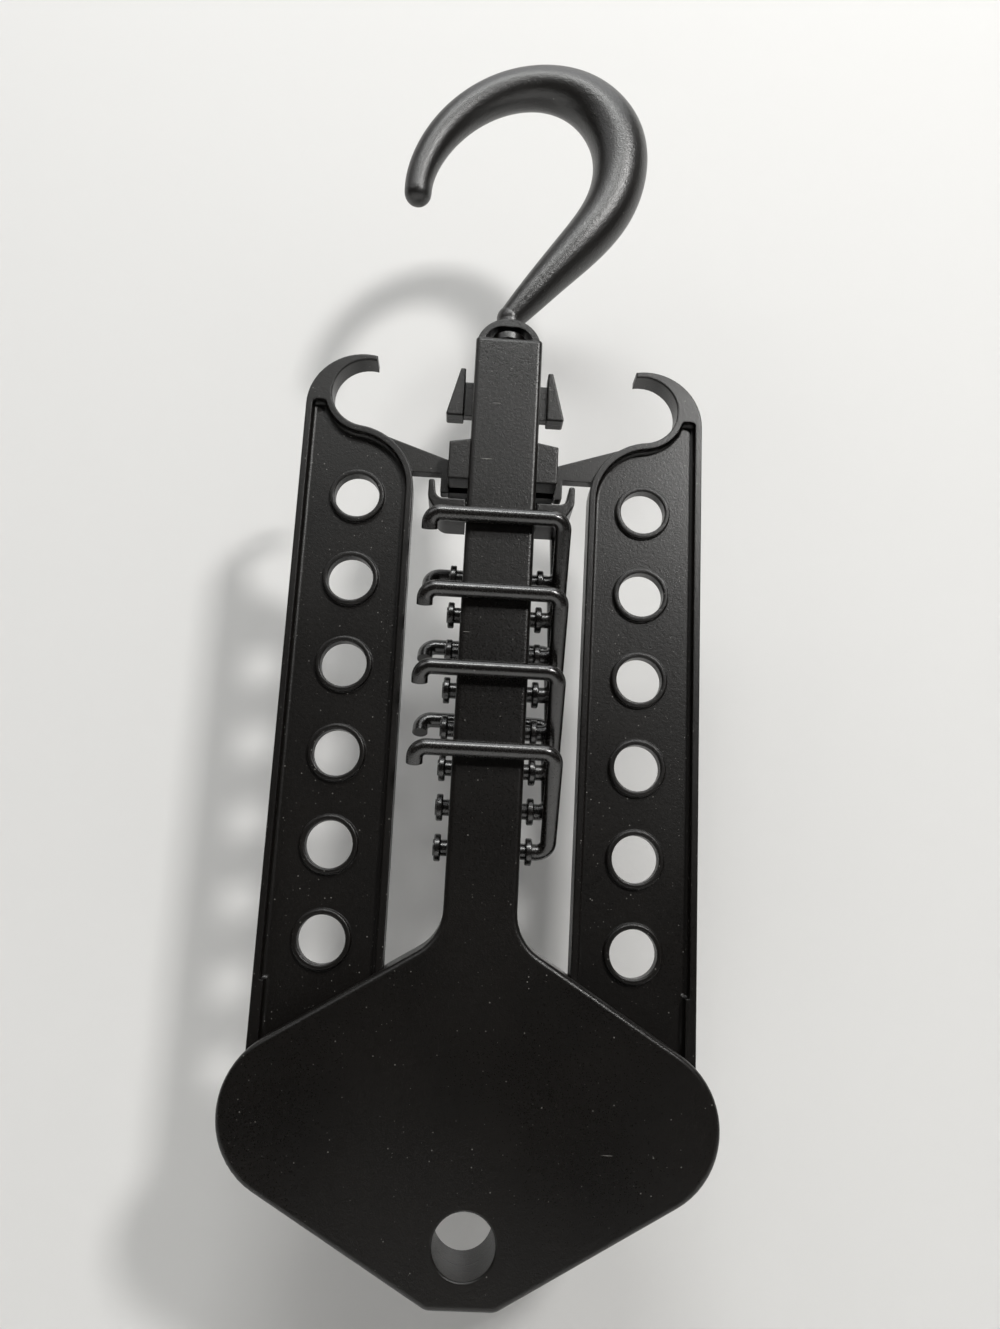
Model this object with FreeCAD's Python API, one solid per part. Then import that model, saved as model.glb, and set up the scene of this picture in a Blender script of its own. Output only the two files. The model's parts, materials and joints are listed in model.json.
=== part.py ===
import FreeCAD, Part
import math
import os

# Cascading hanger hook, hanging upright as it is used. Millimetres.
# X runs to the right, Y runs to the back and Z runs up.
# The pieces are drawn with the two arm pivots at height 0, and moved once, at the end, so that
# the origin lies on the swivel axis, level with the inside top of the big hook.

Vec = FreeCAD.Vector

# ---------------------------------------------------------------- driving dimensions
body_depth = 20.0              # front face of the front shell to back face of the rear shell
wall = 2.0                     # wall of the moulded shells
edge_round = 1.3               # rounding of the shells' outer edges
trim_round = 0.4               # rounding of the small edges on the moulded pieces
least_round = 0.5              # smallest rounding inside the foot of the base
shell_gap = 0.3                # clearance between pieces that move past each other
running_gap = 0.05             # radial clearance of every shaft in its bore
overlap = 0.5                  # pieces of one solid reach this far into each other
cut_over = 1.0                 # cutting shapes reach this far past what they cut

stem_width = 18.3
stem_corner = 0.8              # rounding of the stem's top corners
stem_over_barb = 6.3           # barb's top to the top of the stem's front face

arch_rise = 8.7                # stem's front face to the top of the arch that holds the hook
arch_band = 2.4                # thickness of the arch
arch_depth = 9.0               # depth of the arch, front to back
arch_inner_corner = 5.0        # rounding of the opening under the arch

base_apex_reach = 39.5         # arm pivot to the diamond's side corner before it is rounded
base_rise_angle = 31.4         # slope of the upper edges, degrees
base_drop = 39.8               # arm pivots to the flat bottom edge
base_flat_half = 8.0           # half length of the flat bottom edge
base_lobe_radius = 19.6
base_toe_radius = 4.0
shoulder_radius = 12.0         # where the stem flares into the base

base_hole_radius = 7.4
base_hole_rise = 13.8          # flat bottom edge up to the hole's centre
base_hole_round = 0.5          # rounding of the hole's rims

pivot_spacing = 78.4           # between the two arm pivots
pivot_radius = 4.0
hub_pad_radius = 7.0           # pads on the shells that guide the arm's root

arm_thickness = 7.2
arm_width_root = 31.9          # across the arm at its root
arm_width_tip = 30.8           # across the arm below its hook
arm_outer_reach = 15.8         # outer edge of the arm beyond its pivot
arm_corner_radius = 17.5       # shoulder of the arm below its hook
arm_over_tab = 12.1            # underside of the tab to the top of the shoulder
arm_rim = 1.75
arm_web = 1.8
arm_edge_round = 0.35          # rounding of the arm's outer edges
arm_root_rim_extra = 1.0       # the outer rim is this much wider below the step
arm_step_height = 30.0

tip_inner_radius = 9.8
tip_inner_offset = 0.9         # hook's inner circle lies this far inside the pivot line
tip_band = 5.8                 # the outer circle's radius is larger by this
tip_lean = 4.1                 # and its centre is lower by this
tip_end_offset = 2.9           # end of the tip, inward of the pivot line
tip_pocket_rise = 1.4          # the pocket ends this far above the outer circle's centre
tip_pocket_round = 1.2         # rounding of that end
pocket_floor_round = 1.1       # where the arm's rim runs into its web

hole_count = 6
hole_first = 40.0              # lowest hole above the pivot
hole_top_margin = 19.85        # highest hole below the top of the shoulder
hole_radius = 6.05
hole_ring_band = 1.45          # width of the raised ring
hole_ring_height = 4.2         # front to back over the raised ring
hole_edge_round = 0.45

tab_thickness = 3.5
tab_over_clip = 11.8           # underside of the strap to the underside of the tab
tab_end_depth = 3.8            # depth of the tab at its end
tab_root = 9.0                 # tab's root inside the arm's inner edge, under its shoulder
tab_corner = 0.8
tab_nib_width = 2.4
tab_nib_depth = 5.6            # the nib hangs this far below the tab
tab_nib_corner = 0.6
tab_nib_gap = 0.7              # nib to the inside of the catch

block_cover = 0.45             # the guide block reaches this far past the tab's end
block_over_clip = 7.8          # underside of the strap to the underside of the guide block
block_height = 11.8
block_top_drop = 1.2
block_depth = 18.0

barb_over_block = 9.2          # top of the guide block to the foot of the barb
barb_height = 14.2
barb_web = 2.4                 # short web between the stem and the barb
barb_web_height = 10.0
barb_width_bottom = 5.0
barb_width_top = 1.4
barb_foot_corner = 0.6
barb_depth = 6.0

clip_thickness = 2.2
clip_floor = 153.2             # arm pivots to the underside of the latch clip's strap
clip_reach = 10.45             # side of the stem to the outside of the catch
clip_catch_height = 5.1        # top of the strap to the catch's tip
clip_heel_drop = 3.4           # the catch's heel reaches this far below the strap
clip_heel_in = 3.4             # and this far in from its outside
clip_heel_bend = 3.5
clip_outer_bend = 3.0
clip_inner_bend = 2.0
clip_tip_corner = 0.6
clip_tip_share = 0.7           # the catch thins to this share of its thickness
clip_front = 9.0               # the catches reach this far in front of the middle
clip_back = 4.3                # and this far behind it
clip_strap_depth = 8.0
clip_strap_gap = 0.02          # strap in its slot, front and back

rod_diameter = 4.2
rod_pairs = 4
rod_first = 64.0               # height of the lowest pin
rod_over_clip = 7.0            # underside of the strap to the middle of the top crossbar
rod_leg = 27.4                 # pin to crossbar
rod_face_gap = 0.3             # stowed crossbar in front of the shell's face
rod_leg_offset = 7.55          # side of the stem to the leg's centre line
rod_tip_offset = 9.35          # side of the stem to the bent-down tip
rod_tip_drop = 4.4             # crossbar's centre line to the end of the tip
rod_bend = 3.0
rod_pin_stub = 0.3             # the pin ends this far outside its flange
flange_diameter = 7.0
flange_thickness = 1.7
flange_offset = 1.7            # side of the stem to the flange

hook_neck_radius = 3.6
hook_knuckle_step = 0.15       # the joint between bow and neck is rounder by this
hook_shank_radius = 3.0
hook_neck_rise = 2.5           # the bow starts this far above the arch
hook_width = 59.2              # between the centre lines at the hook's two sides
hook_height = 78.9             # neck top to the height share of one in the rows of the bow
hook_diameter = 16.6           # thickest section, at the upper right
hook_sections = 36
hook_tip_step = 0.02           # the rounded tip is this much slimmer than the bar it ends
retainer_radius = 4.6
retainer_thickness = 2.4
retainer_drop = 1.2            # arch's underside to the retainer

screw_head_radius = 3.0
screw_head_height = 1.8
screw_head_gap = 0.2           # head in its recess, all round
screw_recess = 2.4
screw_radius = 1.5
screw_length = 13.0
cross_half_length = 1.7
cross_half_width = 0.35
cross_depth = 1.08
low_screw_margin = 13.5        # lowest pin down to the lower stem screw
high_screw_margin = 15.5       # top of the stem down to the upper stem screw
boss_wall = 0.6                # boss beyond the head of its screw
spine_rib = 1.6                # rib down the middle of the base, inside

# ---------------------------------------------------------------- worked-out places
half_depth = body_depth / 2.0
half_stem = stem_width / 2.0
pivot_x = pivot_spacing / 2.0
slot_half = arm_thickness / 2.0 + shell_gap
rod_radius = rod_diameter / 2.0

# across
base_apex = pivot_x + base_apex_reach
arm_outer_x = pivot_x + arm_outer_reach
arm_inner_x = arm_outer_x - arm_width_tip
clip_outer_x = half_stem + clip_reach
tab_end_x = clip_outer_x - clip_thickness - tab_nib_gap - tab_nib_width
block_outer_x = tab_end_x + block_cover
tip_outer_radius = tip_inner_radius + tip_band
tip_inner_x = pivot_x - tip_inner_offset

# heights above the arm pivots
base_hole_drop = base_drop - base_hole_rise
clip_top = clip_floor + clip_thickness
tab_bottom = clip_floor + tab_over_clip
block_bottom = clip_floor + block_over_clip
block_top = block_bottom + block_height
barb_bottom = block_top + barb_over_block
barb_top = barb_bottom + barb_height
stem_top = barb_top + stem_over_barb
arch_top = stem_top + arch_rise
hook_neck_top = arch_top + hook_neck_rise
arm_corner_height = tab_bottom + arm_over_tab
hole_pitch = (arm_corner_height - hole_top_margin - hole_first) / (hole_count - 1)
hole_ring_radius = hole_radius + hole_ring_band

# the hook on the arm: its inner circle runs smoothly into the arm's round shoulder
shoulder_x = arm_inner_x + arm_corner_radius
shoulder_z = arm_corner_height - arm_corner_radius
circles_apart = arm_corner_radius + tip_inner_radius
tip_inner_height = shoulder_z + math.sqrt(circles_apart ** 2 - (shoulder_x - tip_inner_x) ** 2)
tip_centre_height = tip_inner_height - tip_lean
tip_join_x = tip_inner_x + (shoulder_x - tip_inner_x) * tip_inner_radius / circles_apart

# rods: a stowed crossbar lies just in front of, or behind, the shells
rod_reach = half_depth + rod_face_gap + rod_radius
rod_rise = math.sqrt(rod_leg ** 2 - rod_reach ** 2)
rod_last = clip_floor + rod_over_clip - rod_rise
rod_step = (rod_last - rod_first) / (2 * rod_pairs - 1)
stem_screw_heights = (rod_first - low_screw_margin, stem_top - high_screw_margin)
boss_radius = screw_head_radius + boss_wall


# ---------------------------------------------------------------- helpers
def box(x0, x1, y0, y1, z0, z1):
    """Block between two opposite corners."""
    return Part.makeBox(x1 - x0, y1 - y0, z1 - z0, Vec(x0, y0, z0))


def rod_y(radius, x, z, y0, y1):
    """Cylinder along Y."""
    return Part.makeCylinder(radius, y1 - y0, Vec(x, y0, z), Vec(0, 1, 0))


def rod_x(radius, y, z, x0, x1):
    """Cylinder along X."""
    return Part.makeCylinder(radius, x1 - x0, Vec(x0, y, z), Vec(1, 0, 0))


def rod_z(radius, x, y, z0, z1):
    """Cylinder along Z."""
    return Part.makeCylinder(radius, z1 - z0, Vec(x, y, z0), Vec(0, 0, 1))


def mirrored(shape):
    """The same shape on the other side of the stem."""
    return shape.mirror(Vec(0, 0, 0), Vec(1, 0, 0))


def to_back(shape):
    """The same shape mirrored from front to back."""
    return shape.mirror(Vec(0, 0, 0), Vec(0, 1, 0))


def rounded_face(corners, y=0.0):
    """Face in the XZ plane through (x, z, radius) corners, each rounded by a tangent arc."""
    count = len(corners)
    starts, ends, middles = [], [], []
    for k in range(count):
        x, z, radius = corners[k]
        here = Vec(x, y, z)
        before = Vec(corners[k - 1][0], y, corners[k - 1][1])
        after = Vec(corners[(k + 1) % count][0], y, corners[(k + 1) % count][1])
        to_before = (before - here).normalize()
        to_after = (after - here).normalize()
        half = to_before.getAngle(to_after) / 2.0
        if radius <= 0.0:
            starts.append(here)
            ends.append(here)
            middles.append(None)
            continue
        reach = radius / math.tan(half)
        bisector = (to_before + to_after).normalize()
        centre = here + bisector * (radius / math.sin(half))
        starts.append(here + to_before * reach)
        ends.append(here + to_after * reach)
        middles.append(centre - bisector * radius)
    edges = []
    for k in range(count):
        if middles[k] is not None:
            edges.append(Part.Arc(starts[k], middles[k], ends[k]).toShape())
        following = starts[(k + 1) % count]
        if (following - ends[k]).Length > 1e-6:
            edges.append(Part.LineSegment(ends[k], following).toShape())
    return Part.Face(Part.Wire(edges))


def slab(corners, y0, y1):
    """Rounded outline in XZ, solid from y0 to y1."""
    return rounded_face(corners, y0).extrude(Vec(0, y1 - y0, 0))


def round_at_y(shape, y, radius):
    """Round every edge that lies in the plane at depth y."""
    rim = [e for e in shape.Edges if e.BoundBox.YLength < 0.001 and abs(e.BoundBox.YMin - y) < 0.001]
    return shape.makeFillet(radius, rim)


def fuse_all(shapes):
    """One solid out of pieces that touch or overlap."""
    whole = shapes[0]
    for shape in shapes[1:]:
        whole = whole.fuse(shape)
    return whole.removeSplitter()


def cut_all(shape, tools):
    """The shape with every tool taken out of it."""
    for tool in tools:
        shape = shape.cut(tool)
    return shape


# ---------------------------------------------------------------- the two shells
def base_corners(inset, top):
    """Outline of stem and base, drawn inset by a wall, anticlockwise from the top left."""
    rise = math.radians(base_rise_angle)
    toe = (base_flat_half, -base_drop)
    fall = math.atan2(base_drop, base_apex - base_flat_half)
    half_apex = (rise + fall) / 2.0
    apex_shift = inset / math.sin(half_apex)
    apex_lean = (rise - fall) / 2.0
    apex_x = base_apex - apex_shift * math.cos(apex_lean)
    apex_z = apex_shift * math.sin(apex_lean)
    stem_x = half_stem - inset
    shoulder_z = apex_z + (apex_x - stem_x) * math.tan(rise)
    toe_x = toe[0] - inset * math.tan(fall / 2.0)
    toe_z = toe[1] + inset
    lobe = base_lobe_radius - inset
    toe_round = max(base_toe_radius - inset, least_round)
    side = [
        (stem_x, top, stem_corner),
        (stem_x, shoulder_z, shoulder_radius + inset),
        (apex_x, apex_z, lobe),
        (toe_x, toe_z, toe_round),
    ]
    left = [(-x, z, r) for x, z, r in side]
    right = [(x, z, r) for x, z, r in reversed(side)]
    return left + right


def rounded_plate():
    """Solid outline of the front shell, with its front edge rounded."""
    solid = slab(base_corners(0.0, stem_top), -half_depth, 0.0)
    return round_at_y(solid, -half_depth, edge_round)


def arch_half():
    """Front half of the arch over the stem, with the hole that the hook's shank turns in."""
    centre = arch_top - half_stem
    leg_foot = centre - half_stem
    outer = rod_y(half_stem, 0, centre, -arch_depth / 2.0, 0.0)
    legs = box(-half_stem, half_stem, -arch_depth / 2.0, 0.0, leg_foot, centre)
    inside_x = half_stem - arch_band
    inside = slab(
        [
            (-inside_x, leg_foot - cut_over, 0),
            (inside_x, leg_foot - cut_over, 0),
            (inside_x, arch_top - arch_band, arch_inner_corner),
            (-inside_x, arch_top - arch_band, arch_inner_corner),
        ],
        -half_depth,
        half_depth,
    )
    shank = rod_z(hook_shank_radius + running_gap, 0, 0, centre, arch_top + cut_over)
    return cut_all(outer.fuse(legs), [inside, shank])


def side_fittings():
    """Guide block and strap barb on the right side of the front shell."""
    x0 = half_stem - wall / 2.0
    block = slab(
        [
            (x0, block_bottom, 0),
            (block_outer_x, block_bottom, trim_round),
            (block_outer_x, block_top - block_top_drop, trim_round),
            (x0, block_top, 0),
        ],
        -block_depth / 2.0,
        0.0,
    )
    block = round_at_y(block, -block_depth / 2.0, trim_round)
    tab_slot = box(half_stem, block_outer_x + cut_over, -tab_thickness / 2.0 - shell_gap, 0.0,
                   block_bottom - cut_over, block_top + cut_over)
    barb_x = half_stem + barb_web
    barb = slab(
        [
            (barb_x, barb_bottom, trim_round),
            (barb_x + barb_width_bottom, barb_bottom, barb_foot_corner),
            (barb_x + barb_width_top, barb_top, trim_round),
            (barb_x, barb_top, trim_round),
        ],
        -barb_depth / 2.0,
        0.0,
    )
    barb = round_at_y(barb, -barb_depth / 2.0, trim_round)
    web_foot = barb_bottom + barb_foot_corner
    web = box(x0, barb_x + overlap, -barb_depth / 4.0, 0.0, web_foot, web_foot + barb_web_height)
    return [block.cut(tab_slot), barb, web]


def arm_slot(y0):
    """Room between the plates for the right arm, stowed and swung out, from y0 to the middle."""
    root = arm_root_radius() + shell_gap
    inner_x = pivot_x - root
    sweep = rod_y(root, pivot_x, 0, y0, 0.0)
    stowed = box(inner_x, base_apex, y0, 0.0, 0.0, stem_top / 2.0)
    opened = box(pivot_x, base_apex, y0, 0.0, -arm_outer_reach - shell_gap, cut_over)
    return fuse_all([sweep, stowed, opened])


def arm_root_radius():
    """Rounded root of an arm, about its pivot."""
    return max(arm_outer_reach, arm_width_root - arm_outer_reach)


def pin_heights():
    """Height of every rod pin, lowest first, with the side its rod lies on."""
    heights = []
    for k in range(2 * rod_pairs):
        side = "front" if k % 2 == 0 else "rear"
        heights.append((rod_first + k * rod_step, side))
    return heights


def half_shell():
    """Front half of the body: stem, base plate, skirt, bosses, bearings and side fittings."""
    outer = rounded_plate()
    hollow = slab(base_corners(wall, arch_top), -half_depth + wall, cut_over)
    shell = outer.cut(hollow)

    additions = [arch_half()]
    additions.append(rod_y(base_hole_radius + wall, 0, -base_hole_drop, -half_depth + wall / 2.0, 0.0))
    for height in stem_screw_heights:
        additions.append(rod_y(boss_radius, 0, height, -half_depth + wall / 2.0, 0.0))
    for side in (1, -1):
        additions.append(rod_y(hub_pad_radius, side * pivot_x, 0, -half_depth + wall / 2.0, -slot_half))
    additions.append(box(-spine_rib / 2.0, spine_rib / 2.0, -half_depth + wall / 2.0, 0.0,
                         -base_hole_drop, stem_screw_heights[0]))
    right = side_fittings()
    additions += right + [mirrored(piece) for piece in right]
    shell = fuse_all([shell] + additions)

    tools = [rod_y(base_hole_radius, 0, -base_hole_drop, -half_depth - cut_over, cut_over)]
    slot = arm_slot(-slot_half)
    tools += [slot, mirrored(slot)]
    for height, side in pin_heights():
        tools.append(rod_x(rod_radius + running_gap, 0, height, -half_stem - cut_over, half_stem + cut_over))
    strap_half = clip_strap_depth / 2.0 + clip_strap_gap
    tools.append(box(-half_stem - cut_over, half_stem + cut_over, -strap_half, 0.0, clip_floor, clip_top))
    shell = cut_all(shell, tools)

    rim = [e for e in shell.Edges if is_hole_rim(e)]
    return shell.makeFillet(base_hole_round, rim)


def is_hole_rim(edge):
    """True for the front rim of the hole in the base."""
    bounds = edge.BoundBox
    at_front = bounds.YMax < -half_depth + 0.01
    centred = abs((bounds.ZMin + bounds.ZMax) / 2.0 + base_hole_drop) < 0.01
    return at_front and centred and bounds.XLength < 2.0 * base_hole_radius + 0.01


def front_shell():
    """Front half with blind pilot holes for the screws."""
    pilots = [rod_y(screw_radius, x, z, -half_depth + wall, cut_over) for x, z in screw_places()]
    return cut_all(half_shell(), pilots)


def rear_shell():
    """Rear half: carries the pivot posts and the screw recesses."""
    shell = to_back(half_shell())
    posts = [rod_y(pivot_radius, side * pivot_x, 0, -slot_half, half_depth - wall / 2.0) for side in (1, -1)]
    shell = fuse_all([shell] + posts)
    tools = []
    for x, z in screw_places():
        tools.append(rod_y(screw_radius, x, z, -half_depth, half_depth + cut_over))
        tools.append(rod_y(screw_head_radius + screw_head_gap, x, z, half_depth - screw_recess,
                           half_depth + cut_over))
    return cut_all(shell, tools)


def screw_places():
    """Two pivot screws and two stem screws, as (x, z)."""
    return [(-pivot_x, 0.0), (pivot_x, 0.0)] + [(0.0, height) for height in stem_screw_heights]


def screw(x, z):
    """Pan-head screw driven in from the back, with a cross recess."""
    seat = half_depth - screw_recess
    head = rod_y(screw_head_radius, x, z, seat, seat + screw_head_height)
    shank = rod_y(screw_radius, x, z, seat - screw_length, seat)
    top = seat + screw_head_height
    across = box(x - cross_half_length, x + cross_half_length, top - cross_depth, top + cut_over,
                 z - cross_half_width, z + cross_half_width)
    upright = box(x - cross_half_width, x + cross_half_width, top - cross_depth, top + cut_over,
                  z - cross_half_length, z + cross_half_length)
    return cut_all(head.fuse(shank), [across, upright])


# ---------------------------------------------------------------- arms
def arm_outline(inset):
    """Panel of the right arm without its hook, inset by a rim."""
    outer = arm_outer_x - inset
    inner_root = arm_outer_x - arm_width_root + inset
    inner_tip = arm_inner_x + inset
    top = arm_corner_height - inset
    return [
        (inner_root, 0.0, 0),
        (outer, 0.0, 0),
        (outer, top, 0),
        (inner_tip, top, arm_corner_radius - inset),
    ]


def arm_tip(inset):
    """C-shaped hook at the top of the right arm, inset by a rim."""
    centre_x = arm_outer_x - tip_outer_radius
    y0 = -arm_thickness / 2.0
    y1 = arm_thickness / 2.0
    disc = rod_y(tip_outer_radius - inset, centre_x, tip_centre_height, y0, y1)
    column = box(tip_join_x, arm_outer_x - inset, y0, y1, shoulder_z, tip_centre_height)
    below = box(0, tip_join_x, y0 - cut_over, y1 + cut_over, 0, tip_centre_height)
    beyond = box(0, pivot_x - tip_end_offset, y0 - cut_over, y1 + cut_over, 0, arch_top)
    inner = rod_y(tip_inner_radius + inset, tip_inner_x, tip_inner_height, y0 - cut_over, y1 + cut_over)
    return cut_all(disc.cut(below).fuse(column), [beyond, inner])


def right_arm():
    """Arm with its rim, web, ringed holes, hook, tab and pivot hub."""
    half = arm_thickness / 2.0
    web = arm_web / 2.0
    panel = slab(arm_outline(0.0), -half, half)
    root = rod_y(arm_root_radius(), pivot_x, 0, -half, half)
    solid = fuse_all([panel, root, arm_tip(0.0)])
    solid = round_at_y(round_at_y(solid, -half, arm_edge_round), half, arm_edge_round)

    pocket = slab(arm_outline(arm_rim), -half, half).cut(
        box(0, base_apex, -half, half, 0, arm_step_height))
    low = arm_outline(arm_rim)
    outer_low = arm_outer_x - arm_rim - arm_root_rim_extra
    lower = slab([(low[0][0], 0.0, 0), (outer_low, 0.0, 0), (outer_low, arm_step_height, 0),
                  (low[0][0], arm_step_height, 0)], -half, half)
    lower = lower.cut(rod_y(arm_root_radius(), pivot_x, 0, -half, half))
    horn_top = tip_centre_height + tip_pocket_rise
    horn = arm_tip(arm_rim).common(box(0, base_apex, -half, half, 0, horn_top))
    ends = [e for e in horn.Edges if e.BoundBox.YLength > half and abs(e.BoundBox.ZMax - horn_top) < 0.001]
    horn = horn.makeFillet(tip_pocket_round, ends)
    hollow = fuse_all([pocket, lower, horn])
    front_pocket = hollow.common(box(0, base_apex, -half, -web, -base_apex, arch_top))
    front_pocket = round_at_y(front_pocket, -web, pocket_floor_round)
    back_pocket = to_back(front_pocket)
    solid = cut_all(solid, [front_pocket, back_pocket])

    solid = fuse_all([solid] + tab_pieces())
    places = [hole_first + k * hole_pitch for k in range(hole_count)]
    openings = [rod_y(hole_ring_radius, pivot_x, z, -half, half) for z in places]
    rings = [hole_ring(z) for z in places]
    solid = fuse_all([cut_all(solid, openings)] + rings)
    bore = rod_y(pivot_radius + running_gap, pivot_x, 0, -half, half)
    return solid.cut(bore)


def hole_ring(z):
    """Raised ring around one hole of the right arm, with its edges rounded."""
    y = hole_ring_height / 2.0
    ring = rod_y(hole_ring_radius, pivot_x, z, -y, y).cut(rod_y(hole_radius, pivot_x, z, -y, y))
    rims = [e for e in ring.Edges if e.BoundBox.YLength < 0.01]
    return ring.makeFillet(hole_edge_round, rims)


def tab_tangent(x, z):
    """Where the tab's straight top edge, drawn from (x, z), runs on to the arm's round shoulder."""
    across = shoulder_x - x
    down = shoulder_z - z
    apart = math.hypot(across, down)
    angle = math.atan2(down, across) + math.asin(arm_corner_radius / apart)
    reach = math.sqrt(apart ** 2 - arm_corner_radius ** 2)
    return x + reach * math.cos(angle), z + reach * math.sin(angle)


def tab_pieces():
    """Inner tab of the right arm, with the small nib that drops behind the latch."""
    end = tab_end_x
    end_top = tab_bottom + tab_end_depth
    nib_bottom = tab_bottom - tab_nib_depth
    meet_x, meet_z = tab_tangent(end, end_top)
    t = tab_thickness / 2.0
    web = slab(
        [
            (end, tab_bottom, 0),
            (arm_inner_x + tab_root, tab_bottom, 0),
            (meet_x, meet_z, 0),
            (end, end_top, tab_corner),
        ],
        -t,
        t,
    )
    inner = slab(arm_outline(arm_rim / 2.0), -t, t)
    nib = slab(
        [
            (end, nib_bottom, tab_nib_corner),
            (end + tab_nib_width, nib_bottom, tab_nib_corner),
            (end + tab_nib_width, tab_bottom + overlap, 0),
            (end, tab_bottom + overlap, 0),
        ],
        -t,
        t,
    )
    return [web.cut(inner), nib]


# ---------------------------------------------------------------- latch clip
def latch_clip():
    """Flexing strap through the stem, curled up at both ends into a catch."""
    root = half_stem + shell_gap
    strap = box(-root - overlap, root + overlap, -clip_strap_depth / 2.0, clip_strap_depth / 2.0,
                clip_floor, clip_top)
    lip = clip_outer_x - clip_thickness
    tip_top = clip_top + clip_catch_height
    catch = slab(
        [
            (root, clip_floor - clip_heel_drop, 0),
            (clip_outer_x - clip_heel_in, clip_floor - clip_heel_drop, clip_heel_bend),
            (clip_outer_x, clip_top, clip_outer_bend),
            (clip_outer_x, tip_top, clip_tip_corner),
            (clip_outer_x - clip_tip_share * clip_thickness, tip_top, clip_tip_corner),
            (lip, clip_top, clip_inner_bend),
            (root, clip_top, 0),
        ],
        -clip_front,
        clip_back,
    )
    catch = round_at_y(catch, -clip_front, trim_round)
    return fuse_all([strap, catch, mirrored(catch)])


# ---------------------------------------------------------------- swing rods
def rod_path(height, facing):
    """Centre line of a rod as points, from the left end of its pin to its tip."""
    leg = Vec(0, facing * rod_reach, rod_rise)
    pin_left = Vec(-half_stem - flange_offset - flange_thickness - rod_pin_stub, 0, height)
    corner = Vec(half_stem + rod_leg_offset, 0, height)
    top = corner + leg
    tip_corner = Vec(-half_stem - rod_tip_offset, top.y, top.z)
    tip_end = tip_corner - leg * (rod_tip_drop / rod_leg)
    return [pin_left, corner, top, tip_corner, tip_end]


def bent_rod(points, radius, bend):
    """Round bar along straight runs joined by tangent arcs."""
    edges = []
    start = points[0]
    for k in range(1, len(points) - 1):
        here = points[k]
        back = (points[k - 1] - here).normalize()
        ahead = (points[k + 1] - here).normalize()
        half = back.getAngle(ahead) / 2.0
        reach = bend / math.tan(half)
        centre = here + (back + ahead).normalize() * (bend / math.sin(half))
        arc_start = here + back * reach
        arc_end = here + ahead * reach
        middle = centre + (here - centre).normalize() * bend
        edges.append(Part.LineSegment(start, arc_start).toShape())
        edges.append(Part.Arc(arc_start, middle, arc_end).toShape())
        start = arc_end
    edges.append(Part.LineSegment(start, points[-1]).toShape())
    path = Part.Wire(edges)
    direction = points[1] - points[0]
    section = Part.Wire([Part.makeCircle(radius, points[0], direction)])
    return path.makePipeShell([section], True, False)


def swing_rod(height, facing):
    """Rod that swings out to carry a hanger: pin, two flanges, leg, crossbar and tip."""
    bar = bent_rod(rod_path(height, facing), rod_radius, rod_bend)
    pieces = [bar]
    for side in (-1, 1):
        middle = side * (half_stem + flange_offset + flange_thickness / 2.0)
        disc = rod_x(flange_diameter / 2.0, 0, height, middle - flange_thickness / 2.0,
                     middle + flange_thickness / 2.0)
        disc = disc.makeFillet(trim_round, [e for e in disc.Edges if e.BoundBox.XLength < 0.01])
        pieces.append(disc)
    return fuse_all(pieces)


# ---------------------------------------------------------------- swivel hook
def hook_stations():
    """Centre line and diameter of the hook, from the tip over the top to the neck.

    Each row is (sideways share of the half width, share of the height, share of the thickness).
    """
    rows = [
        (-0.973, 0.490, 0.479),
        (-0.965, 0.545, 0.496),
        (-0.912, 0.627, 0.529),
        (-0.665, 0.793, 0.611),
        (-0.456, 0.872, 0.652),
        (-0.191, 0.935, 0.696),
        (0.068, 0.967, 0.738),
        (0.287, 0.973, 0.784),
        (0.605, 0.941, 0.880),
        (0.846, 0.866, 0.964),
        (0.990, 0.765, 1.000),
        (1.028, 0.653, 0.969),
        (0.923, 0.478, 0.889),
        (0.600, 0.290, 0.761),
        (0.374, 0.183, 0.648),
        (0.193, 0.095, 0.554),
    ]
    half = hook_width / 2.0
    stations = []
    for across, up, thick in rows:
        centre = Vec(across * half, 0, hook_neck_top + up * hook_height)
        stations.append((centre, thick * hook_diameter / 2.0))
    return stations


def hang_height():
    """Height of the inside top of the hook, where it hangs on a rail."""
    return max(centre.z - radius for centre, radius in hook_stations())


def hook_section(centre, along, radius):
    """Round section of the hook as four quarter arcs that start on the same side."""
    across = Vec(0, 1, 0)
    outward = along.cross(across).normalize()
    spokes = []
    for k in range(8):
        angle = math.pi * k / 4.0
        spokes.append(centre + across * (radius * math.cos(angle)) + outward * (radius * math.sin(angle)))
    arcs = [Part.Arc(spokes[2 * k], spokes[2 * k + 1], spokes[(2 * k + 2) % 8]).toShape() for k in range(4)]
    return Part.Wire(arcs)


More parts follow.
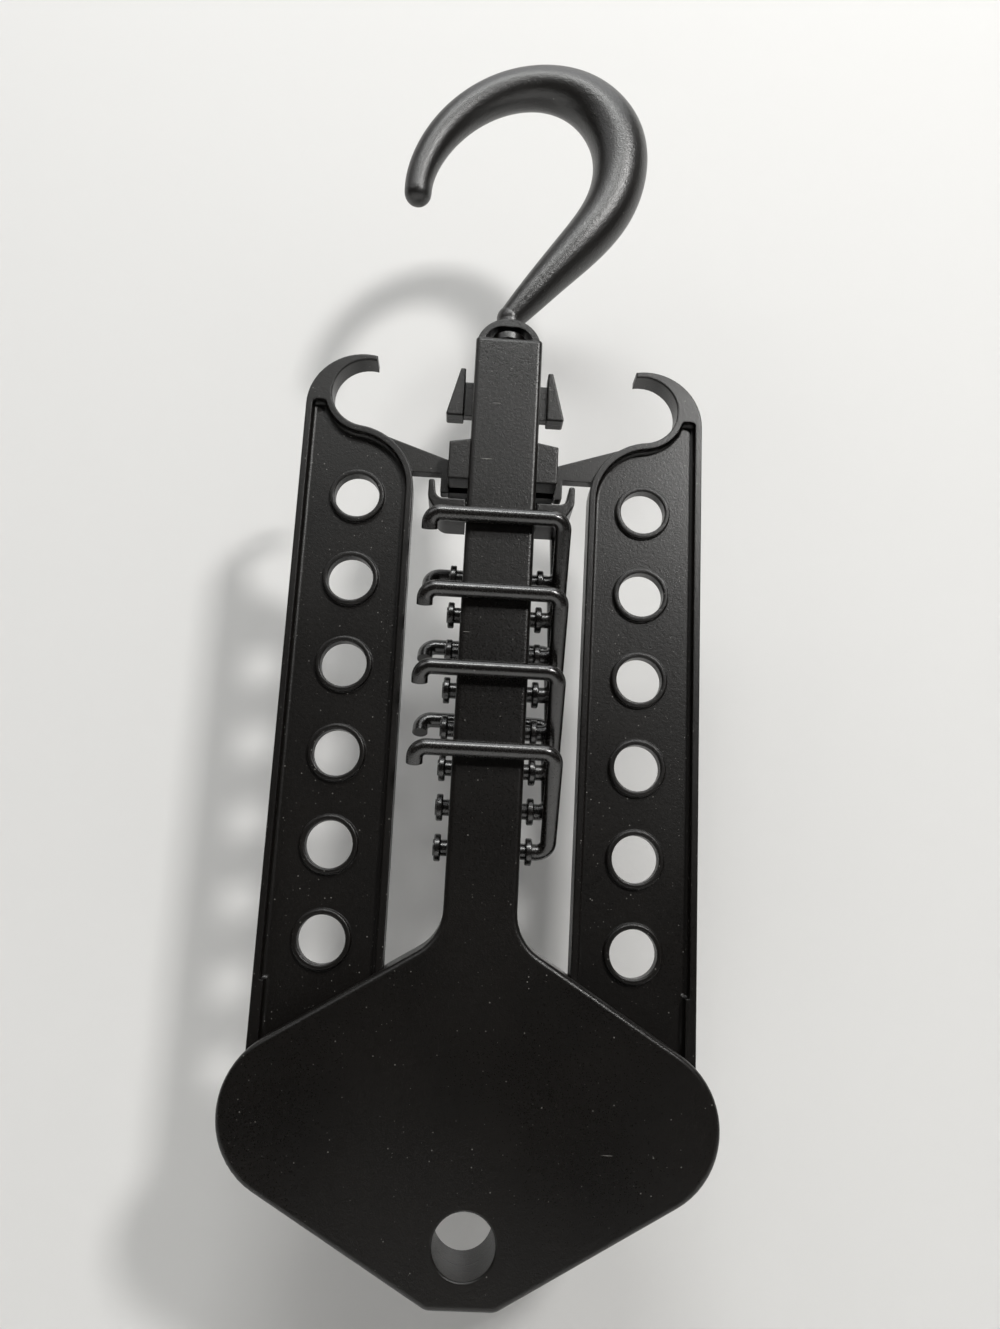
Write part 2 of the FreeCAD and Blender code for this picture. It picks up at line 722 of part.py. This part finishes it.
def swivel_hook():
    """Tapered round hook with a shank that turns in the arch."""
    knuckle_centre = Vec(0, 0, hook_neck_top)
    stations = hook_stations()
    stations.append((knuckle_centre, hook_neck_radius))
    centres = [centre for centre, radius in stations]
    steps = [0.0]
    for k in range(1, len(centres)):
        steps.append(steps[-1] + (centres[k] - centres[k - 1]).Length)
    line = Part.BSplineCurve()
    line.interpolate(Points=centres, Parameters=steps)
    sizes = Part.BSplineCurve()
    sizes.interpolate(Points=[Vec(step, radius, 0) for step, (centre, radius) in zip(steps, stations)],
                      Parameters=steps)
    wires = []
    for k in range(hook_sections + 1):
        place = steps[-1] * k / hook_sections
        wires.append(hook_section(line.value(place), line.tangent(place)[0], sizes.value(place).y))
    bow = Part.makeLoft(wires, True, False)
    tip = Part.makeSphere(stations[0][1] - hook_tip_step, centres[0])
    foot = arch_top - arch_band - retainer_drop - retainer_thickness
    knuckle = Part.makeSphere(hook_neck_radius + hook_knuckle_step, knuckle_centre)
    neck = rod_z(hook_neck_radius, 0, 0, arch_top + shell_gap, hook_neck_top)
    shank = rod_z(hook_shank_radius, 0, 0, foot, arch_top + shell_gap)
    return fuse_all([bow, tip, fuse_all([knuckle, neck, shank])])


def swivel_retainer():
    """Ring pressed on the shank under the arch, so that the hook can turn but not lift out."""
    top = arch_top - arch_band - retainer_drop
    foot = top - retainer_thickness
    ring = rod_z(retainer_radius, 0, 0, foot, top)
    ring = ring.makeFillet(trim_round, [e for e in ring.Edges if e.BoundBox.ZLength < 0.01])
    return ring.cut(rod_z(hook_shank_radius, 0, 0, foot - cut_over, top + cut_over))


# ---------------------------------------------------------------- writing
def model():
    """Every piece under its node's name."""
    arm = right_arm()
    pieces = {
        "front_shell": front_shell(),
        "rear_shell": rear_shell(),
        "swivel_hook": swivel_hook(),
        "swivel_retainer": swivel_retainer(),
        "right_arm": arm,
        "left_arm": mirrored(arm),
        "latch_clip": latch_clip(),
        "pivot_screws": Part.makeCompound([screw(x, z) for x, z in screw_places()[:2]]),
        "stem_screws": Part.makeCompound([screw(x, z) for x, z in screw_places()[2:]]),
    }
    for k, (height, side) in enumerate(pin_heights()):
        number = rod_pairs - k // 2
        facing = -1 if side == "front" else 1
        pieces["%s_rod_%d" % (side, number)] = swing_rod(height, facing)
    return pieces


def write(pieces):
    """Move every piece to the hanging frame and write its file."""
    os.makedirs("parts", exist_ok=True)
    for name, shape in pieces.items():
        moved = shape.copy()
        moved.translate(Vec(0, 0, -hang_height()))
        moved.exportStep("parts/%s.step" % name)
        bounds = moved.BoundBox
        print("%-16s solids %d valid %s volume %.1f  x %.1f..%.1f y %.1f..%.1f z %.1f..%.1f" % (
            name, len(moved.Solids), moved.isValid(), moved.Volume, bounds.XMin, bounds.XMax,
            bounds.YMin, bounds.YMax, bounds.ZMin, bounds.ZMax))


write(model())
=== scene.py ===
import bpy
import json
import math
from mathutils import Matrix, Vector

# Cascading hanger hook, hanging upright in front of a pale wall. Metres, in the part's own frame:
# X to the right, Y to the back, Z up, with the origin on the swivel axis at the hook's inside top.

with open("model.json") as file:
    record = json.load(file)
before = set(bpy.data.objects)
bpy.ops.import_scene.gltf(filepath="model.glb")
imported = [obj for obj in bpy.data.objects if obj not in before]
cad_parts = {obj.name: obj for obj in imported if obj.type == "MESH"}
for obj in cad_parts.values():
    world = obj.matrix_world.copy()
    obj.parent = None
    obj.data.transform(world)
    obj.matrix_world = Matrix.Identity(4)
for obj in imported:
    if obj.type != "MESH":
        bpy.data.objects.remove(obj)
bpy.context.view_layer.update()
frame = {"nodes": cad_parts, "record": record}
NODES = frame["nodes"]
MM = 0.001

# ---------------------------------------------------------------- camera, as the photograph was taken
CAMERA_AT = Vector((-6.234, -261.503, -223.864)) * MM
CAMERA_UP = Vector((-0.05590028, -0.1954486, 0.97911951))
CAMERA_FORWARD = Vector((0.03120664, 0.97983175, 0.19737243))
FOCAL_SHARE = 1.00029            # focal length over the picture's width
SENSOR_WIDTH = 36.0

# ---------------------------------------------------------------- stage
WALL_BEHIND = 64 * MM            # clears the body when it is turned on its swivel
WALL_WIDTH = 6.0
WALL_TOP = 3.0
FLOOR_BELOW = -0.62              # height of the floor
LIT_HEIGHT = -0.05               # height that the lights aim at
FLOOR_REACH = -0.60              # how far the floor comes forward
COVE_RADIUS = 0.20
COVE_STEPS = 12

# ---------------------------------------------------------------- finishes
BLACK = (0.0036, 0.0028, 0.0022)
DUST = (0.30, 0.29, 0.27, 1.0)
ZINC = (0.45, 0.45, 0.46, 1.0)
DULL_ZINC = (0.30, 0.29, 0.27, 1.0)
PALE_WALL = (0.80, 0.795, 0.785, 1.0)
ROOM_TINT = (0.80, 0.78, 0.76, 1.0)
ROOM_STRENGTH = 0.05             # weak light from all around
SKY_TINT = (0.80, 0.80, 0.79, 1.0)
SKY_STRENGTH = 0.9               # what the camera sees beside the wall

PORE_STEP = 2.7                  # pores are this much wider than the grain
PORE_SHARE = 0.8                 # and this share of its height
CLOUDS_PER_METRE = 55.0          # patches of lighter and darker colour
FLOWS_PER_METRE = 14.0           # broad changes of sheen
CLOUD_SHADE = (0.8, 1.25)        # colour in the darkest and in the lightest patch
FLOW_SHEEN = 0.035               # change of roughness by the flow, either way
GRAIN_SHEEN = 0.05               # and by the grain
MARK_COVER = 0.55                # how much of the colour a mark hides
MARK_SHEEN = 0.2                 # how much rougher a mark is
LINE_STRETCH = 0.06              # a scratch's width over its length

# cells per metre, size as a share of a cell, share of the finish's own dust
DUST_DOTS = (420.0, 0.08, 1.0)
DUST_MOTES = (900.0, 0.09, 0.5)
# turn in radians, cells per metre, width as a share of a cell, share of the finish's own scratches
LONG_SCRATCHES = (0.45, 160.0, 0.020, 1.0)
FINE_SCRATCHES = (-1.0, 260.0, 0.022, 0.7)

# name, degrees to the right, degrees up, distance, width, height, watts, colour
LIGHTS = [
    ("front_right", 27.0, 24.0, 1.2, 0.16, 0.14, 8.2, (1.0, 0.99, 0.97)),
    ("front_left", -20.0, 40.0, 1.2, 0.24, 0.22, 1.3, (1.0, 1.0, 0.98)),
    ("front_top", -2.0, 43.0, 1.3, 0.50, 0.16, 5.4, (0.99, 1.0, 0.98)),
    ("overhead", 8.0, 72.0, 1.3, 1.2, 0.8, 6.2, (0.98, 0.99, 1.0)),
    ("left", -50.0, 30.0, 1.3, 0.7, 0.6, 1.8, (1.0, 1.0, 1.0)),
    ("back_fill", 150.0, 35.0, 1.2, 1.0, 1.0, 9.0, (1.0, 1.0, 1.0)),
]


# ================================================================ material helpers
class Wiring:
    """Adds nodes to one material and joins them."""

    def __init__(self, name):
        self.material = bpy.data.materials.new(name)
        self.material.use_nodes = True
        self.tree = self.material.node_tree
        self.tree.nodes.clear()

    def node(self, kind, **settings):
        made = self.tree.nodes.new(kind)
        for key, value in settings.items():
            setattr(made, key, value)
        return made

    def link(self, source, target):
        self.tree.links.new(source, target)

    def feed(self, socket, value):
        """Links an output to a socket, or sets a constant on it."""
        if isinstance(value, bpy.types.NodeSocket):
            self.link(value, socket)
        else:
            socket.default_value = value

    def noise(self, place, scale, detail=2.0, roughness=0.5):
        made = self.node("ShaderNodeTexNoise")
        self.link(place, made.inputs["Vector"])
        made.inputs["Scale"].default_value = scale
        made.inputs["Detail"].default_value = detail
        made.inputs["Roughness"].default_value = roughness
        return made.outputs["Fac"]

    def ramp(self, value, low, high, to_low=0.0, to_high=1.0):
        made = self.node("ShaderNodeMapRange")
        self.feed(made.inputs["Value"], value)
        made.inputs["From Min"].default_value = low
        made.inputs["From Max"].default_value = high
        made.inputs["To Min"].default_value = to_low
        made.inputs["To Max"].default_value = to_high
        return made.outputs["Result"]

    def math(self, operation, first, second=0.5):
        made = self.node("ShaderNodeMath", operation=operation)
        self.feed(made.inputs[0], first)
        self.feed(made.inputs[1], second)
        return made.outputs[0]

    def blend(self, share, first, second):
        made = self.node("ShaderNodeMix", data_type="RGBA")
        self.feed(made.inputs["Factor"], share)
        self.feed(made.inputs["A"], first)
        self.feed(made.inputs["B"], second)
        return made.outputs["Result"]

    def bump(self, height, distance, strength=1.0, under=None):
        made = self.node("ShaderNodeBump")
        made.inputs["Distance"].default_value = distance
        made.inputs["Strength"].default_value = strength
        self.link(height, made.inputs["Height"])
        if under is not None:
            self.link(under, made.inputs["Normal"])
        return made.outputs["Normal"]

    def stretched(self, place, turn, stretch):
        """Coordinates turned about Y and drawn out along one way, for scratches."""
        made = self.node("ShaderNodeMapping")
        self.link(place, made.inputs["Vector"])
        made.inputs["Rotation"].default_value = (0.0, turn, 0.0)
        made.inputs["Scale"].default_value = (stretch, 1.0, 1.0)
        return made.outputs["Vector"]


def specks(wiring, place, per_metre, size, keep):
    """Share of dust: a few small dots, at most one to a cell."""
    cells = wiring.node("ShaderNodeTexVoronoi", feature="F1")
    wiring.link(place, cells.inputs["Vector"])
    cells.inputs["Scale"].default_value = per_metre
    dot = wiring.ramp(cells.outputs["Distance"], size * 0.6, size, 1.0, 0.0)
    split = wiring.node("ShaderNodeSeparateColor")
    wiring.link(cells.outputs["Color"], split.inputs["Color"])
    chosen = wiring.math("LESS_THAN", split.outputs["Red"], keep)
    return wiring.math("MULTIPLY", dot, chosen)


def scratches(wiring, place, turn, per_metre, width, keep):
    """Share of scratch: short fine lines that lie mostly one way."""
    drawn = wiring.stretched(place, turn, LINE_STRETCH)
    cells = wiring.node("ShaderNodeTexVoronoi", feature="F1")
    wiring.link(drawn, cells.inputs["Vector"])
    cells.inputs["Scale"].default_value = per_metre
    line = wiring.ramp(cells.outputs["Distance"], width * 0.5, width, 1.0, 0.0)
    split = wiring.node("ShaderNodeSeparateColor")
    wiring.link(cells.outputs["Color"], split.inputs["Color"])
    chosen = wiring.math("LESS_THAN", split.outputs["Green"], keep)
    return wiring.math("MULTIPLY", line, chosen)


def dust_and_scratches(w, place, dust, scratch):
    """Share of every kind of mark: dots, finer motes, long scratches and fine ones."""
    per_metre, size, share = DUST_DOTS
    dots = specks(w, place, per_metre, size, dust * share)
    per_metre, size, share = DUST_MOTES
    motes = specks(w, place, per_metre, size, dust * share)
    turn, per_metre, width, share = LONG_SCRATCHES
    lines = scratches(w, place, turn, per_metre, width, scratch * share)
    turn, per_metre, width, share = FINE_SCRATCHES
    hairs = scratches(w, place, turn, per_metre, width, scratch * share)
    return w.math("MAXIMUM", w.math("MAXIMUM", dots, motes), w.math("MAXIMUM", lines, hairs))


def moulded_plastic(name, roughness, grain_mm, grain_depth_mm, dust, scratch, edge_mm, gloss):
    """Black moulded plastic: eroded grain, uneven sheen, a little dust and fine scratches."""
    w = Wiring(name)
    place = w.node("ShaderNodeTexCoord").outputs["Object"]
    grain = w.noise(place, 1.0 / (grain_mm * MM), 3.0, 0.6)
    pores = w.noise(place, 1.0 / (grain_mm * PORE_STEP * MM), 2.0, 0.55)
    cloud = w.noise(place, CLOUDS_PER_METRE, 3.0, 0.55)
    flow = w.noise(place, FLOWS_PER_METRE, 2.0, 0.5)
    marks = dust_and_scratches(w, place, dust, scratch)

    darkest, lightest = CLOUD_SHADE
    shade = w.ramp(cloud, 0.3, 0.7, darkest, lightest)
    tint = w.node("ShaderNodeVectorMath", operation="SCALE")
    tint.inputs[0].default_value = BLACK
    w.link(shade, tint.inputs["Scale"])
    dusted = w.blend(w.math("MULTIPLY", marks, MARK_COVER), tint.outputs["Vector"], DUST)

    by_flow = w.ramp(flow, 0.35, 0.65, -FLOW_SHEEN, FLOW_SHEEN)
    by_grain = w.ramp(grain, 0.3, 0.7, -GRAIN_SHEEN, GRAIN_SHEEN)
    rough = w.math("ADD", by_flow, by_grain)
    rough = w.math("ADD", rough, roughness)
    rough = w.math("ADD", rough, w.math("MULTIPLY", marks, MARK_SHEEN))

    soft = w.node("ShaderNodeBevel", samples=4)
    soft.inputs["Radius"].default_value = edge_mm * MM
    height = w.math("ADD", grain, w.math("MULTIPLY", pores, PORE_SHARE))
    normal = w.bump(height, grain_depth_mm * MM, 1.0, soft.outputs["Normal"])

    shader = w.node("ShaderNodeBsdfPrincipled")
    w.link(dusted, shader.inputs["Base Color"])
    w.link(rough, shader.inputs["Roughness"])
    w.link(normal, shader.inputs["Normal"])
    shader.inputs["IOR"].default_value = 1.5
    shader.inputs["Specular IOR Level"].default_value = gloss
    output = w.node("ShaderNodeOutputMaterial")
    w.link(shader.outputs["BSDF"], output.inputs["Surface"])
    return w.material


def plated_steel(name):
    """Dull zinc plate with fine turning marks, for the screws."""
    w = Wiring(name)
    place = w.node("ShaderNodeTexCoord").outputs["Object"]
    cloud = w.noise(place, 900.0, 3.0, 0.6)
    turning = w.noise(w.stretched(place, 0.3, 0.2), 5200.0, 2.0, 0.5)
    shader = w.node("ShaderNodeBsdfPrincipled")
    w.link(w.blend(w.ramp(cloud, 0.35, 0.7), ZINC, DULL_ZINC), shader.inputs["Base Color"])
    w.link(w.ramp(turning, 0.3, 0.7, 0.28, 0.48), shader.inputs["Roughness"])
    shader.inputs["Metallic"].default_value = 1.0
    w.link(w.bump(turning, 0.01 * MM), shader.inputs["Normal"])
    output = w.node("ShaderNodeOutputMaterial")
    w.link(shader.outputs["BSDF"], output.inputs["Surface"])
    return w.material


FINISHES = {
    "body_plastic": moulded_plastic("body_plastic", roughness=0.32, grain_mm=0.34, grain_depth_mm=0.045,
                                    dust=0.45, scratch=0.6, edge_mm=0.45, gloss=0.5),
    "arm_plastic": moulded_plastic("arm_plastic", roughness=0.34, grain_mm=0.34, grain_depth_mm=0.035,
                                   dust=1.0, scratch=0.7, edge_mm=0.5, gloss=0.5),
    "hook_plastic": moulded_plastic("hook_plastic", roughness=0.33, grain_mm=0.40, grain_depth_mm=0.080,
                                    dust=0.15, scratch=0.2, edge_mm=0.3, gloss=0.9),
    "rod_plastic": moulded_plastic("rod_plastic", roughness=0.27, grain_mm=0.28, grain_depth_mm=0.020,
                                   dust=0.15, scratch=0.1, edge_mm=0.3, gloss=1.0),
    "screw_steel": plated_steel("screw_steel"),
}


def dress(node, slot):
    """Gives one CAD piece its finish, with smooth shading across its gentle bends."""
    piece = NODES[node]
    piece.data.materials.clear()
    piece.data.materials.append(FINISHES[slot])
    piece.data.polygons.foreach_set("use_smooth", [True] * len(piece.data.polygons))


for row in frame["record"]["subparts"]:
    dress(row["node"], row["material_slot"])


# ================================================================ stage, lights and camera
def wall_material():
    """Matt pale surface. Seen from behind it lets the view through, so the back can be looked at."""
    w = Wiring("pale_wall")
    shader = w.node("ShaderNodeBsdfPrincipled")
    shader.inputs["Base Color"].default_value = PALE_WALL
    shader.inputs["Roughness"].default_value = 0.9
    shader.inputs["Specular IOR Level"].default_value = 0.2
    clear = w.node("ShaderNodeBsdfTransparent")
    behind = w.node("ShaderNodeNewGeometry").outputs["Backfacing"]
    choice = w.node("ShaderNodeMixShader")
    w.link(behind, choice.inputs["Fac"])
    w.link(shader.outputs["BSDF"], choice.inputs[1])
    w.link(clear.outputs["BSDF"], choice.inputs[2])
    output = w.node("ShaderNodeOutputMaterial")
    w.link(choice.outputs["Shader"], output.inputs["Surface"])
    return w.material


def backdrop():
    """Floor that curves up into a wall, as one sheet that faces the camera."""
    line = [(FLOOR_REACH, FLOOR_BELOW), (WALL_BEHIND - COVE_RADIUS, FLOOR_BELOW)]
    for k in range(1, COVE_STEPS):
        turn = math.pi / 2.0 * k / COVE_STEPS
        line.append((WALL_BEHIND - COVE_RADIUS + COVE_RADIUS * math.sin(turn),
                     FLOOR_BELOW + COVE_RADIUS - COVE_RADIUS * math.cos(turn)))
    line += [(WALL_BEHIND, FLOOR_BELOW + COVE_RADIUS), (WALL_BEHIND, WALL_TOP)]
    mesh = bpy.data.meshes.new("backdrop")
    corners, faces = [], []
    for y, z in line:
        corners += [(-WALL_WIDTH / 2.0, y, z), (WALL_WIDTH / 2.0, y, z)]
    for k in range(len(line) - 1):
        faces.append((2 * k, 2 * k + 1, 2 * k + 3, 2 * k + 2))
    mesh.from_pydata(corners, [], faces)
    mesh.polygons.foreach_set("use_smooth", [True] * len(faces))
    piece = bpy.data.objects.new("backdrop", mesh)
    bpy.context.scene.collection.objects.link(piece)
    mesh.materials.append(wall_material())
    piece.visible_shadow = False


def area_light(name, place, aim, width, height, power, colour):
    """Soft rectangular light that isn't seen by the camera itself."""
    data = bpy.data.lights.new(name, "AREA")
    data.shape = "RECTANGLE"
    data.size = width
    data.size_y = height
    data.energy = power
    data.color = colour
    lamp = bpy.data.objects.new(name, data)
    bpy.context.scene.collection.objects.link(lamp)
    lamp.location = place
    lamp.rotation_mode = "QUATERNION"
    lamp.rotation_quaternion = (Vector(aim) - Vector(place)).to_track_quat("-Z", "Y")
    lamp.visible_camera = False


def aimed(azimuth, elevation, distance):
    """Place of a light seen from the middle of the part: degrees to the right of the front, and up."""
    turn = math.radians(azimuth)
    rise = math.radians(elevation)
    return (distance * math.cos(rise) * math.sin(turn),
            -distance * math.cos(rise) * math.cos(turn),
            LIT_HEIGHT + distance * math.sin(rise))


def studio_light():
    """A low light on the right, one above in front, weak fills and a dim room."""
    middle = (0.0, 0.0, LIT_HEIGHT)
    for name, azimuth, elevation, distance, width, height, power, colour in LIGHTS:
        area_light(name, aimed(azimuth, elevation, distance), middle, width, height, power, colour)
    world = bpy.data.worlds.new("room")
    world.use_nodes = True
    tree = world.node_tree
    dim = tree.nodes["Background"]
    dim.inputs["Color"].default_value = ROOM_TINT
    dim.inputs["Strength"].default_value = ROOM_STRENGTH
    pale = tree.nodes.new("ShaderNodeBackground")
    pale.inputs["Color"].default_value = SKY_TINT
    pale.inputs["Strength"].default_value = SKY_STRENGTH
    seen = tree.nodes.new("ShaderNodeLightPath")
    choice = tree.nodes.new("ShaderNodeMixShader")
    tree.links.new(seen.outputs["Is Camera Ray"], choice.inputs["Fac"])
    tree.links.new(dim.outputs["Background"], choice.inputs[1])
    tree.links.new(pale.outputs["Background"], choice.inputs[2])
    tree.links.new(choice.outputs["Shader"], tree.nodes["World Output"].inputs["Surface"])
    bpy.context.scene.world = world
    bpy.context.scene.view_settings.view_transform = "Standard"


def camera():
    """Camera where the photograph was taken from, on the same picture angle."""
    data = bpy.data.cameras.new("camera")
    data.sensor_fit = "HORIZONTAL"
    data.sensor_width = SENSOR_WIDTH
    data.lens = SENSOR_WIDTH * FOCAL_SHARE
    data.clip_start = 0.01
    data.clip_end = 20.0
    seen = bpy.data.objects.new("camera", data)
    bpy.context.scene.collection.objects.link(seen)
    back = -CAMERA_FORWARD.normalized()
    right = CAMERA_UP.cross(back).normalized()
    up = back.cross(right)
    turn = Matrix((right, up, back)).transposed().to_4x4()
    seen.matrix_world = Matrix.Translation(CAMERA_AT) @ turn
    bpy.context.scene.camera = seen


backdrop()
studio_light()
camera()
